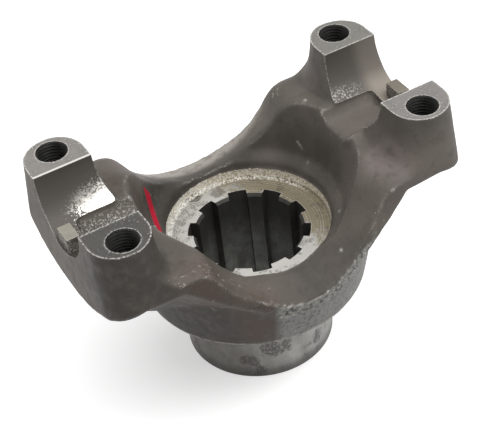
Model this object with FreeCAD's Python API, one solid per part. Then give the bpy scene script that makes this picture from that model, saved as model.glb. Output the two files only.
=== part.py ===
import FreeCAD, Part
import math
import os

from FreeCAD import Vector

# Half-round end yoke for a drive pinion, forged in one piece and then machined.
# The axis of the hub is Z, and the bottom face of the hub tube lies at z = 0.
# The axis of the two half-round cradles is parallel to X. All sizes are in millimetres.

# Heights above the bottom face of the hub
shoulder_height = 32.1          # flat underside of the skirt
nut_seat_height = 48.5          # flat ring that the pinion nut presses on
cup_axis_height = 94.5          # axis of the cradles, level with the four lobe tops

# Hub tube and splined bore
hub_diameter = 55.0
hub_chamfer = 0.5
hub_root_radius = 1.5
spline_count = 10
spline_major_diameter = 44.45
spline_minor_diameter = 38.3
spline_space_width = 6.93
spline_lead_chamfer = 1.0

# Skirt, the round middle of the forging
skirt_bottom_diameter = 82.0
skirt_draft_deg = 10.6
skirt_edge_radius = 0.6

# Ears as seen from above, at the level of their machined tops
ear_centre_inset = 6.0          # these insets are measured inwards from the lugs' inner faces
ear_thickness = 21.4
ear_half_width = 34.7
ear_side_draft_deg = 8.8
ear_end_draft_deg = 2.0
ear_root_corner_radius = 9.0    # corners of the outline at the level of the shoulder

# Ear roots, where the lobes flare out into the arms
root_flare = 7.5
root_flare_sink = 3.8           # how far the flare runs on below the shelf
root_flare_profile = [(0, 0), (0.55, 0.05), (0.8, 0.28), (1.0, 1.0)]   # shares of height, of flare

# Underside of the arms, at four stations from the end of an ear inwards.
# A drop is measured down from the axis of the cradles, a rise up from the shoulder.
end_keel_drop = 33.3
end_parting_drop = 21.5
end_keel_radius = 59.0
belly_station_inset = 6.1
belly_keel_drop = 49.0
belly_parting_drop = 21.9
belly_keel_radius = 16.9
mid_station_inset = 20.1
mid_keel_rise = 3.9
mid_parting_drop = 22.5
mid_keel_radius = 12.4
inner_station_x = 10.0
inner_keel_rise = 0.9
inner_parting_rise = 13.9
inner_keel_radius = 68.7
keel_radius_share = 0.98        # of the largest keel round that still meets the parting line

# Saddle between the ears: its profile near the middle and at the outer edge of the arms.
# Its lowest line is measured up from the nut seat, its shelves down from the axis of the cradles.
# The shelves run level as far as a crease and fall away past it, towards the sides of the arms.
saddle_middle_shelf_drop = 15.0
saddle_inner_y = 27.0
saddle_inner_rise = 6.5
saddle_inner_radius = 34.5
saddle_inner_angle_deg = 60.0
saddle_inner_shelf_drop = 17.5
saddle_crease_y = 34.0
saddle_crease_shelf_drop = 17.4
saddle_crease_shoulder_radius = 8.0
saddle_outer_y = 42.0
saddle_outer_rise = 2.2
saddle_outer_radius = 36.0
saddle_outer_angle_deg = 65.0
saddle_outer_shelf_drop = 21.4
saddle_shoulder_radius = 12.0   # where the slope of the saddle turns over into the shelf
saddle_slope_share = 0.97       # of the steepest slope that leaves room for both rounds

# Round die pocket above the nut seat
nut_seat_diameter = 59.1
seat_bore_diameter = 61.0
seat_bore_depth = 6.3
pocket_floor_diameter = 68.6
pocket_floor_rise = 9.5
pocket_top_diameter = 81.0
pocket_top_rise = 30.0

# Cradles for the two bearing cups
cup_diameter = 34.93
relief_half_width = 8.8
relief_floor_drop = 19.2
relief_slope_deg = 3.0
relief_end_inset = 2.8
relief_corner_radius = 1.6
lug_spacing = 126.2
lug_thickness = 4.6
lug_half_width = 3.9
lug_top_drop = 11.7
lug_root_depth = 10.8           # how far the lug is carried down into the ear

# Tapped holes for the strap bolts
bolt_inset = 6.4
bolt_spacing_y = 54.3
bolt_hole_diameter = 10.3

# Room that a cutting body needs past the part
cut_margin = 40.0
saddle_overrun = 10.0           # how far the saddle is cut past its outer profile
outline_allowance = 1.2         # what the lobes stand proud of the outline before it trims them

# Places along the ears, which follow the spacing of the lugs
ear_centre_x = lug_spacing / 2 - ear_centre_inset
belly_station_x = lug_spacing / 2 - belly_station_inset
mid_station_x = lug_spacing / 2 - mid_station_inset
relief_end_x = lug_spacing / 2 - relief_end_inset
bolt_x = lug_spacing / 2 - bolt_inset

# Levels worked out from the sizes above
saddle_inner_base = nut_seat_height + saddle_inner_rise
saddle_outer_base = nut_seat_height + saddle_outer_rise
saddle_middle_shelf = cup_axis_height - saddle_middle_shelf_drop
saddle_inner_shelf = cup_axis_height - saddle_inner_shelf_drop
saddle_crease_shelf = cup_axis_height - saddle_crease_shelf_drop
saddle_outer_shelf = cup_axis_height - saddle_outer_shelf_drop
relief_floor_height = cup_axis_height - relief_floor_drop
lug_top_height = cup_axis_height - lug_top_drop


def tangent(angle_deg):
    return math.tan(math.radians(angle_deg))


def closed_face(points):
    """Flat face whose outline runs straight from point to point."""
    return Part.Face(Part.makePolygon(points + [points[0]]))


def revolved(profile):
    """Solid of revolution about Z from (radius, height) points."""
    face = closed_face([Vector(radius, 0, height) for radius, height in profile])
    return face.revolve(Vector(0, 0, 0), Vector(0, 0, 1), 360)


def hub_and_skirt():
    """Turned hub tube, its flat shoulder and the drafted skirt above it."""
    hub_radius = hub_diameter / 2
    skirt_radius = skirt_bottom_diameter / 2
    top = saddle_inner_base + cut_margin / 2
    top_radius = skirt_radius + (top - shoulder_height) * tangent(skirt_draft_deg)
    solid = revolved([
        (0, 0),
        (hub_radius - hub_chamfer, 0),
        (hub_radius, hub_chamfer),
        (hub_radius, shoulder_height),
        (skirt_radius, shoulder_height),
        (top_radius, top),
        (0, top),
    ])
    root = [edge for edge in solid.Edges
            if round_edge_at(edge, hub_radius, shoulder_height)]
    solid = solid.makeFillet(hub_root_radius, root)
    rim = [edge for edge in solid.Edges
           if round_edge_at(edge, skirt_radius, shoulder_height)]
    return solid.makeFillet(skirt_edge_radius, rim)


def round_edge_at(edge, radius, height):
    """True for a circle about the hub axis with this radius and height."""
    curve = edge.Curve
    if curve.TypeId != "Part::GeomCircle":
        return False
    on_axis = math.hypot(curve.Center.x, curve.Center.y) < 1e-6
    return on_axis and abs(curve.Radius - radius) < 1e-6 and abs(curve.Center.z - height) < 1e-6


def rounded_rectangle(centre_x, half_x, half_y, radius, height):
    """Wire of a rectangle with round corners, flat at the given height."""
    flat_x = half_x - radius
    flat_y = half_y - radius
    corners = [(1, 1, 0), (-1, 1, 90), (-1, -1, 180), (1, -1, 270)]
    arcs = []
    for side_x, side_y, start in corners:
        centre = Vector(centre_x + side_x * flat_x, side_y * flat_y, height)
        points = []
        for angle in (start, start + 45, start + 90):
            turn = math.radians(angle)
            points.append(centre + Vector(math.cos(turn), math.sin(turn), 0) * radius)
        arcs.append(Part.Arc(*points).toShape())
    edges = []
    for index, arc in enumerate(arcs):
        following = arcs[(index + 1) % len(arcs)]
        edges.append(arc)
        start, end = arc.lastVertex().Point, following.firstVertex().Point
        if start.distanceToPoint(end) > 1e-6:
            edges.append(Part.LineSegment(start, end).toShape())
    return Part.Wire(edges)


def drafted_outline():
    """Space inside the side walls of the upper die, from below the arms to the lobe tops."""
    drop = cup_axis_height - shoulder_height
    half_x = ear_centre_x + ear_thickness / 2
    radius = ear_thickness / 2
    top = rounded_rectangle(0, half_x, ear_half_width, radius, cup_axis_height)
    bottom = rounded_rectangle(
        0,
        half_x + drop * tangent(ear_end_draft_deg),
        ear_half_width + drop * tangent(ear_side_draft_deg),
        ear_root_corner_radius,
        shoulder_height,
    )
    return Part.makeLoft([bottom, top], True, True)


def hull_section(x, half_width, keel, parting, keel_radius):
    """Section of an arm: a round keel, sides that slope on to the parting line, and open above."""
    rise = parting - keel
    largest = (half_width ** 2 + rise ** 2) / (2 * rise)
    radius = min(keel_radius, keel_radius_share * largest)
    reach = math.hypot(half_width, radius - rise)
    turn = math.atan2(half_width, radius - rise) - math.acos(radius / reach)
    touch_y = radius * math.sin(turn)
    touch_z = keel + radius * (1 - math.cos(turn))
    far_y = half_width + cut_margin
    far_z = parting + math.tan(turn) * cut_margin
    top_z = cup_axis_height + cut_margin
    left_touch = Vector(x, -touch_y, touch_z)
    right_touch = Vector(x, touch_y, touch_z)
    corners = [right_touch, Vector(x, far_y, far_z), Vector(x, far_y, top_z),
               Vector(x, -far_y, top_z), Vector(x, -far_y, far_z), left_touch]
    edges = [Part.LineSegment(a, b).toShape() for a, b in zip(corners[:-1], corners[1:])]
    edges.append(Part.Arc(left_touch, Vector(x, 0, keel), right_touch).toShape())
    return Part.Wire(edges)


def arm(side):
    """One arm with the lower body of its ear, above its boat-shaped underside."""
    end_x = ear_centre_x + ear_thickness / 2 + end_keel_drop * tangent(ear_end_draft_deg)
    axis, shoulder = cup_axis_height, shoulder_height
    stations = [
        (inner_station_x, shoulder + inner_keel_rise, shoulder + inner_parting_rise,
         inner_keel_radius),
        (mid_station_x, shoulder + mid_keel_rise, axis - mid_parting_drop, mid_keel_radius),
        (belly_station_x, axis - belly_keel_drop, axis - belly_parting_drop, belly_keel_radius),
        (end_x, axis - end_keel_drop, axis - end_parting_drop, end_keel_radius),
    ]
    wires = [hull_section(side * x, side_half_width(parting), keel, parting, radius)
             for x, keel, parting, radius in stations]
    return Part.makeLoft(wires, True, True)


def side_half_width(height):
    """Half width of the upper die's outline at a height."""
    return ear_half_width + (cup_axis_height - height) * tangent(ear_side_draft_deg)


def saddle_wire(y, base, radius, angle_deg, shelf, shoulder):
    """Profile of the saddle in a plane of constant y, closed above the ears."""
    steepest = math.acos(1 - (shelf - base) / (radius + shoulder))
    angle = min(math.radians(angle_deg), saddle_slope_share * steepest)
    low = Vector(radius * math.sin(angle), y, base + radius * (1 - math.cos(angle)))
    turn_z = shelf - shoulder * (1 - math.cos(angle))
    turn_x = low.x + (turn_z - low.z) / math.tan(angle)
    shelf_x = turn_x + shoulder * math.sin(angle)
    half = Vector(shelf_x - shoulder * math.sin(angle / 2), y,
                  shelf - shoulder * (1 - math.cos(angle / 2)))
    far_x = ear_centre_x + cut_margin
    top = cup_axis_height + cut_margin
    right = [low, Vector(turn_x, y, turn_z), Vector(shelf_x, y, shelf), Vector(far_x, y, shelf),
             Vector(far_x, y, top)]
    left = [mirrored(point) for point in reversed(right)]
    edges = [
        Part.LineSegment(right[0], right[1]).toShape(),
        Part.Arc(right[1], half, right[2]).toShape(),
        Part.LineSegment(right[2], right[3]).toShape(),
        Part.LineSegment(right[3], right[4]).toShape(),
        Part.LineSegment(right[4], left[0]).toShape(),
        Part.LineSegment(left[0], left[1]).toShape(),
        Part.LineSegment(left[1], left[2]).toShape(),
        Part.Arc(left[2], mirrored(half), left[3]).toShape(),
        Part.LineSegment(left[3], left[4]).toShape(),
        Part.Arc(left[4], Vector(0, y, base), right[0]).toShape(),
    ]
    return Part.Wire(edges)


def mirrored(point):
    """The same point on the other side of the middle plane."""
    return Vector(-point.x, point.y, point.z)


def on_line(y, inner, outer):
    """Value at a distance from the middle, on the line through two (distance, value) points."""
    share = (y - inner[0]) / (outer[0] - inner[0])
    return inner[1] + (outer[1] - inner[1]) * share


def saddle_station(side, y):
    """Profile of the saddle at a distance from the middle."""
    base, radius, angle = [
        on_line(y, (saddle_inner_y, inner), (saddle_outer_y, outer))
        for inner, outer in ((saddle_inner_base, saddle_outer_base),
                             (saddle_inner_radius, saddle_outer_radius),
                             (saddle_inner_angle_deg, saddle_outer_angle_deg))]
    inner = (saddle_inner_y, saddle_inner_shelf)
    crease = (saddle_crease_y, saddle_crease_shelf)
    if y < saddle_inner_y:
        shelf = on_line(y, (0, saddle_middle_shelf), inner)
    elif y < saddle_crease_y:
        shelf = on_line(y, inner, crease)
    else:
        shelf = on_line(y, crease, (saddle_outer_y, saddle_outer_shelf))
    shoulder = saddle_crease_shoulder_radius if y == saddle_crease_y else saddle_shoulder_radius
    return saddle_wire(side * y, base, radius, angle, shelf, shoulder)


def saddle_space(side):
    """Open space above one half of the saddle, sloping down towards the outer edge."""
    stations = (0, saddle_inner_y, saddle_crease_y, saddle_outer_y + saddle_overrun)
    return Part.makeLoft([saddle_station(side, y) for y in stations], True, True)


def ear_lobes(side):
    """Upper body of one ear, with both lobes in one, flaring out at its root.

    Its outer faces stand a little proud, and the outline of the die cuts them back.
    """
    full_drop = saddle_crease_shelf_drop + root_flare_sink
    wires = []
    for share, flare in root_flare_profile:
        drop = full_drop * share
        spread = drop * tangent(ear_side_draft_deg)
        inner_x = ear_centre_x - ear_thickness / 2 - spread / 2 - root_flare * flare
        outer_x = ear_centre_x + ear_thickness / 2 + spread / 2 + outline_allowance
        half_x = (outer_x - inner_x) / 2
        half_y = ear_half_width + spread + root_flare * flare + outline_allowance / 4
        corner = ear_thickness / 2 + outline_allowance / 4 + spread / 2
        wires.append(rounded_rectangle(side * (inner_x + outer_x) / 2, half_x, half_y, corner,
                                       cup_axis_height - drop))
    return Part.makeLoft(wires, True, False)


def die_pocket():
    """Counterbore over the nut seat and the round drafted pocket above it."""
    top_radius = pocket_top_diameter / 2
    slope = (pocket_top_diameter - pocket_floor_diameter) / 2 / (
        pocket_top_rise - pocket_floor_rise)
    top = pocket_top_rise + cut_margin
    return revolved([
        (0, nut_seat_height),
        (nut_seat_diameter / 2, nut_seat_height),
        (seat_bore_diameter / 2, nut_seat_height + seat_bore_depth),
        (pocket_floor_diameter / 2, nut_seat_height + pocket_floor_rise),
        (top_radius, nut_seat_height + pocket_top_rise),
        (top_radius + cut_margin * slope, nut_seat_height + top),
        (0, nut_seat_height + top),
    ])


def cradle_space():
    """Round space that the two bearing cups lie in, cut through both ears."""
    length = 2 * (ear_centre_x + cut_margin)
    return Part.makeCylinder(cup_diameter / 2, length, Vector(-length / 2, 0, cup_axis_height),
                             Vector(1, 0, 0))


def relief(side):
    """Rough channel below the middle of a cradle, open towards the die pocket."""
    height = cup_axis_height - relief_floor_height
    outline = [
        Vector(0, -relief_half_width, 0),
        Vector(relief_end_x, -relief_half_width, 0),
        Vector(relief_end_x, relief_half_width, 0),
        Vector(0, relief_half_width, 0),
    ]
    block = closed_face(outline).extrude(Vector(0, 0, height))
    ends = [edge for edge in block.Edges
            if abs(edge.firstVertex().X - relief_end_x) < 1e-6
            and abs(edge.lastVertex().X - relief_end_x) < 1e-6
            and abs(edge.firstVertex().Y - edge.lastVertex().Y) < 1e-6]
    block = block.makeFillet(relief_corner_radius, ends)
    block.rotate(Vector(relief_end_x, 0, 0), Vector(0, 1, 0), -relief_slope_deg)
    block.translate(Vector(0, 0, relief_floor_height))
    if side < 0:
        block = block.mirror(Vector(0, 0, 0), Vector(1, 0, 0))
    return block


def locating_lug(side):
    """Lug in the middle of a cradle that stops the bearing cup from sliding out."""
    inner_x = lug_spacing / 2
    start_x = inner_x if side > 0 else -inner_x - lug_thickness
    return Part.makeBox(lug_thickness, 2 * lug_half_width, lug_root_depth,
                        Vector(start_x, -lug_half_width, lug_top_height - lug_root_depth))


def bolt_hole(x, y):
    """Straight tapped hole down through a lobe."""
    return Part.makeCylinder(bolt_hole_diameter / 2, cup_axis_height, Vector(x, y, shoulder_height))


def splined_bore():
    """Bore with straight-sided spaces between its teeth, and a chamfer at both ends."""
    minor = spline_minor_diameter / 2
    major = spline_major_diameter / 2
    bore = Part.makeCylinder(minor, nut_seat_height)
    envelope = Part.makeCylinder(major, nut_seat_height)
    spaces = []
    for index in range(spline_count):
        slot = Part.makeBox(major + 1, spline_space_width, nut_seat_height,
                            Vector(0, -spline_space_width / 2, 0))
        slot.rotate(Vector(0, 0, 0), Vector(0, 0, 1), 360.0 * index / spline_count)
        spaces.append(slot.common(envelope))
    bore = bore.multiFuse(spaces)
    lead = Part.makeCone(minor + spline_lead_chamfer, minor, spline_lead_chamfer)
    exit_base = Vector(0, 0, nut_seat_height - spline_lead_chamfer)
    exit_cone = Part.makeCone(minor, minor + spline_lead_chamfer, spline_lead_chamfer, exit_base)
    return bore.multiFuse([lead, exit_cone])


def end_yoke():
    """The whole forging with its machined faces."""
    forging = hub_and_skirt()
    outline = drafted_outline()
    for side in (1, -1):
        forging = forging.fuse(arm(side).common(outline))
    for side in (1, -1):
        forging = forging.cut(saddle_space(side))
    for side in (1, -1):
        forging = forging.fuse(ear_lobes(side).common(outline))
    forging = forging.cut(die_pocket())
    for side in (1, -1):
        forging = forging.cut(relief(side))
    forging = forging.cut(cradle_space())
    for side in (1, -1):
        forging = forging.fuse(locating_lug(side))
        for row in (1, -1):
            forging = forging.cut(bolt_hole(side * bolt_x, row * bolt_spacing_y / 2))
    forging = forging.cut(splined_bore())
    return forging.removeSplitter()


os.makedirs("parts", exist_ok=True)
yoke = end_yoke()
box = yoke.optimalBoundingBox()
print("solids", len(yoke.Solids), "valid", yoke.isValid(), "volume", round(yoke.Volume))
print("box", [round(v, 2) for v in (box.XMin, box.YMin, box.ZMin, box.XMax, box.YMax, box.ZMax)])
yoke.exportStep("parts/end_yoke.step")
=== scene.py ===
import math

import bmesh
import bpy
import numpy as np
from mathutils import Matrix, Vector, noise


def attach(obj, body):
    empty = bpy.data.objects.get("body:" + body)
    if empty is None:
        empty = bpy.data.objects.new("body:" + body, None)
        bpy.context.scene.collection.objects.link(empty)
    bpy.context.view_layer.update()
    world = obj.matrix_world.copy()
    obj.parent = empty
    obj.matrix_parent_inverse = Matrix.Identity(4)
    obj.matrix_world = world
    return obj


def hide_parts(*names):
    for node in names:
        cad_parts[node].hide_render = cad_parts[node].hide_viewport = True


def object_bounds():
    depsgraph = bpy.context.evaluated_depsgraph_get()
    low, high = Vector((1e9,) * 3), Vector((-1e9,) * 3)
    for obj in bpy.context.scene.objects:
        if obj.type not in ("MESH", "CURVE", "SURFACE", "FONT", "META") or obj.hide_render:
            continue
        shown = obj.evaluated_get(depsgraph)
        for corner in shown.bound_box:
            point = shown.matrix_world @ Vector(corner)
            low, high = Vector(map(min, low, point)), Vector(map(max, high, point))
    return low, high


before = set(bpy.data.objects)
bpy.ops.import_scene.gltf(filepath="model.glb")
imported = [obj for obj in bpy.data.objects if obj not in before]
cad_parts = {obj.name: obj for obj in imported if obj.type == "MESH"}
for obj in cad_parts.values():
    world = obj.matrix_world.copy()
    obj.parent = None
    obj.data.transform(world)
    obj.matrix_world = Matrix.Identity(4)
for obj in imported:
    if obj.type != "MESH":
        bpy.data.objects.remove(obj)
cad_low, cad_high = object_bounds()


# The forged blank.
# The yoke starts as one drop forging of medium carbon steel: tube, skirt, arms and ears in one.
# The finished solid gets back the metal that machining took, and a fine voxel skin rounds its
# edges as worn dies and scale leave them.
MM = 0.001
TOP = cad_high.z
CUP_RADIUS = 17.465 * MM
NUT_SEAT = 48.5 * MM
SHOULDER = 32.1 * MM
BOLT_X = 56.7 * MM
BOLT_Y = 27.15 * MM
BORE_REACH = 22.3 * MM          # everything nearer the axis than this belongs to the bore
HOLE_REACH = 5.3 * MM
EAR_START = 34 * MM             # the cradles and their lugs lie further out than this
LUG_INNER_X = 63.1 * MM
LUG_THICKNESS = 4.6 * MM
LUG_HALF_WIDTH = 3.9 * MM
LUG_TOP = TOP - 11.7 * MM
RELIEF_HALF_WIDTH = 8.8 * MM
RELIEF_FLOOR = 75.32 * MM       # at the outer end, from where the floor falls by 3 degrees
RELIEF_START_X = 38 * MM
RELIEF_END_X = 60.3 * MM
RELIEF_FALL = math.tan(math.radians(3))
RELIEF_ROOT = 4.0 * MM
MILLING_STOCK = 3.0 * MM
BORING_STOCK = 1.5 * MM
SEAT_STOCK_RADIUS = 29.95 * MM
SEAT_STOCK_HEIGHT = 3.2 * MM
TUBE_STOCK_RADIUS = 28.3 * MM
SKIRT_STOCK_RADIUS = 40.9 * MM
BLANK_SIDES = 96
SKIN_VOXEL = 0.8 * MM
RELAX_STEPS = 8
CLOSE = 0.02 * MM
LEVEL = 0.999                   # upward part of the normal of a level face
QUARTER_TURN = [math.radians(15 * index) for index in range(7)]


def add_turned(bm, profile, segments, place=Matrix()):
    """Closed solid of revolution about Z from a closed loop of (radius, height) points."""
    turns = [2 * math.pi * index / segments for index in range(segments)]
    rings = []
    for radius, height in profile:
        if radius < CLOSE:
            points = [Vector((0, 0, height))]
        else:
            points = [Vector((radius * math.cos(turn), radius * math.sin(turn), height)) for turn in turns]
        rings.append([bm.verts.new(place @ point) for point in points])
    faces = []
    for ring, above in zip(rings, rings[1:] + rings[:1]):
        if len(ring) == 1 and len(above) == 1:
            continue
        for index in range(segments):
            following = (index + 1) % segments
            corners = [ring[index % len(ring)], ring[following % len(ring)],
                       above[following % len(above)], above[index % len(above)]]
            faces.append(bm.faces.new(list(dict.fromkeys(corners))))
    bmesh.ops.recalc_face_normals(bm, faces=faces)


def add_stack(bm, rings):
    """Closed solid between outlines of equal length, given from one end to the other."""
    rows = [[bm.verts.new(point) for point in ring] for ring in rings]
    faces = [bm.faces.new(rows[0]), bm.faces.new(rows[-1])]
    for below, above in zip(rows[:-1], rows[1:]):
        for index in range(len(below)):
            following = (index + 1) % len(below)
            faces.append(bm.faces.new((below[index], below[following], above[following], above[index])))
    bmesh.ops.recalc_face_normals(bm, faces=faces)


def add_block(bm, low, high, edge_break=0):
    """Upright box between two corners, with its edges broken by the given width."""
    low, high = Vector(low), Vector(high)
    cube = bmesh.ops.create_cube(bm, size=1)["verts"]
    bmesh.ops.scale(bm, vec=high - low, verts=cube)
    bmesh.ops.translate(bm, vec=(low + high) / 2, verts=cube)
    if edge_break:
        edges = list({edge for vert in cube for edge in vert.link_edges})
        bmesh.ops.bevel(bm, geom=edges, offset=edge_break, segments=1, affect="EDGES")


def new_piece(name, bm):
    """Object made from a finished bmesh, which is freed."""
    mesh = bpy.data.meshes.new(name)
    bm.to_mesh(mesh)
    bm.free()
    piece = bpy.data.objects.new(name, mesh)
    bpy.context.scene.collection.objects.link(piece)
    return piece


def settle(piece):
    """Apply the piece's modifiers to its mesh."""
    graph = bpy.context.evaluated_depsgraph_get()
    finished = bpy.data.meshes.new_from_object(piece.evaluated_get(graph))
    piece.modifiers.clear()
    piece.data = finished


def from_cup_axis(point):
    return math.hypot(point.y, point.z - TOP)


def from_bolt_axis(point):
    return math.hypot(abs(point.x) - BOLT_X, abs(point.y) - BOLT_Y)


def in_cradle(point):
    """True on the bored surface of a cradle, its edges included."""
    return abs(point.x) > EAR_START and abs(from_cup_axis(point) - CUP_RADIUS) < CLOSE


def on_top(point):
    return point.z > TOP - CLOSE


def fill_bores(bm):
    """Take out the walls of the splined bore and the bolt holes, and close their mouths."""
    not_level, upright = 0.95, 0.2
    walls = []
    for face in bm.faces:
        slope = abs(face.normal.z)
        if slope < not_level and all(math.hypot(vert.co.x, vert.co.y) < BORE_REACH for vert in face.verts):
            walls.append(face)
        elif slope < upright and all(from_bolt_axis(vert.co) < HOLE_REACH for vert in face.verts):
            walls.append(face)
    bmesh.ops.delete(bm, geom=walls, context="FACES")
    mouths = [edge for edge in bm.edges if edge.is_boundary]
    bmesh.ops.holes_fill(bm, edges=mouths, sides=0)


def add_stock(bm):
    """Give back what the cutters take: lobe tops upwards, cradles inwards, lugs, seat and hub all round."""
    grown = [face for face in bm.faces
             if (face.normal.z > LEVEL and on_top(face.calc_center_median()))
             or all(in_cradle(vert.co) for vert in face.verts)]
    for item in bmesh.ops.extrude_face_region(bm, geom=grown)["geom"]:
        if not isinstance(item, bmesh.types.BMVert):
            continue
        top, bored = on_top(item.co), in_cradle(item.co)
        if bored:
            share = 1 - BORING_STOCK / CUP_RADIUS
            item.co.y *= share
            item.co.z = TOP + (item.co.z - TOP) * share
        if top:
            item.co.z += MILLING_STOCK
    bmesh.ops.delete(bm, geom=grown, context="FACES_ONLY")
    for side in (1, -1):
        ends = sorted((side * (LUG_INNER_X - BORING_STOCK), side * (LUG_INNER_X + LUG_THICKNESS + MM)))
        add_block(bm, (ends[0], -LUG_HALF_WIDTH - BORING_STOCK, TOP - CUP_RADIUS - MM),
                  (ends[1], LUG_HALF_WIDTH + BORING_STOCK, LUG_TOP + BORING_STOCK))
    low, high = NUT_SEAT - MM, NUT_SEAT + SEAT_STOCK_HEIGHT
    add_turned(bm, [(0, low), (SEAT_STOCK_RADIUS, low), (SEAT_STOCK_RADIUS, high), (0, high)], BLANK_SIDES)
    low, high = SHOULDER - BORING_STOCK, SHOULDER + MM
    add_turned(bm, [(0, -BORING_STOCK), (TUBE_STOCK_RADIUS, -BORING_STOCK), (TUBE_STOCK_RADIUS, low),
                    (SKIRT_STOCK_RADIUS, low), (SKIRT_STOCK_RADIUS, high), (0, high)], BLANK_SIDES)


def add_relief_roots(bm):
    """Wide hollow roundings where the reliefs' side walls run into their floors."""
    section = [(-MM, RELIEF_ROOT)]
    for turn in QUARTER_TURN:
        section.append((RELIEF_ROOT * (1 - math.sin(turn)), RELIEF_ROOT * (1 - math.cos(turn))))
    section += [(RELIEF_ROOT, -MM), (-MM, -MM)]
    for side in (1, -1):
        for flank in (1, -1):
            rings = []
            for x in (RELIEF_START_X, RELIEF_END_X + MM):
                floor_here = RELIEF_FLOOR - RELIEF_FALL * (RELIEF_END_X - x)
                rings.append([(side * x, flank * (RELIEF_HALF_WIDTH - inward), floor_here + up)
                              for inward, up in section])
            add_stack(bm, rings)


blank = bmesh.new()
blank.from_mesh(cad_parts["end_yoke"].data)
bmesh.ops.remove_doubles(blank, verts=blank.verts, dist=CLOSE / 10)
fill_bores(blank)
add_stock(blank)
add_relief_roots(blank)
yoke = new_piece("end_yoke_forging", blank)

skin = yoke.modifiers.new("skin", "REMESH")
skin.mode = "VOXEL"
skin.voxel_size = SKIN_VOXEL
relax = yoke.modifiers.new("relax", "SMOOTH")
relax.factor = 0.5
relax.iterations = RELAX_STEPS
settle(yoke)


# The forged surface.
# Scale, worn dies and the trimming of the flash leave the skin slightly uneven, and torn along
# the parting line in front, where the trimming tool broke the flash off.
WAVE_LENGTH = 18 * MM
WAVE_HEIGHT = 0.16 * MM
PIT_LENGTH = 4.5 * MM
PIT_HEIGHT = 0.07 * MM
TEAR_LENGTH = 2.2 * MM
TEAR_HEIGHT = 0.5 * MM
BAND_PROUD = 0.3 * MM
TORN_FROM_X = -13 * MM
TORN_TO_X = 30 * MM
TORN_FOOT = 45 * MM
TORN_FOOT_RISE = 4.5 * MM       # its foot climbs towards the right arm, between these places
RISE_FROM_X = 8 * MM
RISE_TO_X = 24 * MM


def step(low, high, value):
    """Smooth rise from 0 to 1 between two values."""
    share = min(max((value - low) / (high - low), 0), 1)
    return share * share * (3 - 2 * share)


def torn_band(point, normal):
    """Share of torn flash, 1 on the band that was trimmed and 0 away from it."""
    foot = TORN_FOOT + TORN_FOOT_RISE * step(RISE_FROM_X, RISE_TO_X, point.x)
    side = step(0.35, 0.1, normal.z) * step(-24 * MM, -30 * MM, point.y)
    along = step(TORN_FROM_X - 2 * MM, TORN_FROM_X + MM, point.x) * step(TORN_TO_X, TORN_TO_X - 6 * MM, point.x)
    up = step(foot - 0.6 * MM, foot + 0.6 * MM, point.z)
    return side * along * up


places = []
for vert in yoke.data.vertices:
    point, normal = vert.co.copy(), vert.normal.copy()
    proud = WAVE_HEIGHT * noise.noise(point / WAVE_LENGTH) + PIT_HEIGHT * noise.noise(point / PIT_LENGTH)
    torn = torn_band(point, normal)
    if torn:
        proud += torn * (BAND_PROUD + TEAR_HEIGHT * noise.noise(point / TEAR_LENGTH))
    point += normal * proud
    point.x = min(max(point.x, cad_low.x), cad_high.x)
    point.y = min(max(point.y, cad_low.y), cad_high.y)
    places.extend(point)
yoke.data.vertices.foreach_set("co", places)
yoke.data.update()


# The as-forged finish.
# Medium carbon steel under hammer scale, oil and road dirt, long in use. It shows as a dull
# brown grey with a satin gloss, rubbed bright along its edges, rusty in patches, and torn to
# bare grey metal in front, with one stroke of red inspection paint beside the nut pocket.
def linear(hex_colour):
    """Linear colour of an sRGB hex value."""
    parts = [int(hex_colour[index:index + 2], 16) / 255 for index in (1, 3, 5)]
    parts = [part / 12.92 if part <= 0.04045 else ((part + 0.055) / 1.055) ** 2.4 for part in parts]
    return (*parts, 1.0)


def add(tree, kind, sockets=None, out=0, **settings):
    """Shader node with its settings, and values or links on its input sockets; gives one output."""
    made = tree.nodes.new("ShaderNode" + kind)
    for name, value in settings.items():
        setattr(made, name, value)
    for key, value in (sockets or {}).items():
        if isinstance(value, bpy.types.NodeSocket):
            tree.links.new(value, made.inputs[key])
        else:
            made.inputs[key].default_value = value
    return made.outputs[out] if made.outputs else None


def new_material(name):
    """Empty node material, given as its material and its tree."""
    material = bpy.data.materials.new(name)
    material.use_nodes = True
    material.node_tree.nodes.clear()
    return material, material.node_tree


def coat(tree, colour, *films):
    """Colour with films laid over it in turn, each a tint and the share of it that covers."""
    for tint, share in films:
        tint = linear(tint) if isinstance(tint, str) else tint
        colour = add(tree, "Mix", {0: share, 6: colour, 7: tint}, out=2, data_type="RGBA")
    return colour


SCALE_BROWN = "#57524c"
# Dark scale, and also the tint of painted shade in hollows and on sides turned from the light.
DARK_SCALE_AND_SHADE = "#393632"
SCALE_WARM = "#6b645d"
RUST = "#58463d"
BARE_GREY = "#8e8d8a"
TORN_GREY = "#93928c"
DUSTY_PINK_AND_LIT = "#7c7370"
# Rubbed metal, and also the tint of painted light on the far rim.
RUBBED_AND_LIT = "#a8a39b"
BRIGHT = "#dcd9d3"
PAINT_RED = "#b3122f"
CLOUD_SIZE = 14 * MM            # patches of thicker and thinner scale
MOTTLE_SIZE = 3.5 * MM
BREAK_SIZE = 1.6 * MM           # torn grains of the trimmed flash
SCRATCH_WIDTH = 0.9 * MM
GRAIN_SIZE = 0.7 * MM           # true scale grains are finer, drawn coarser so that they show
FLECK_SPACING = 3.2 * MM
SCALE_GLOSS = 0.5               # scale with oil on it is satin, and duller where it is dry
SCALE_DULL = 0.64
SCALE_SPECULAR = 0.25           # porous scale reflects less than a polished surface does
SKIN_RELIEF = 0.1 * MM

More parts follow.
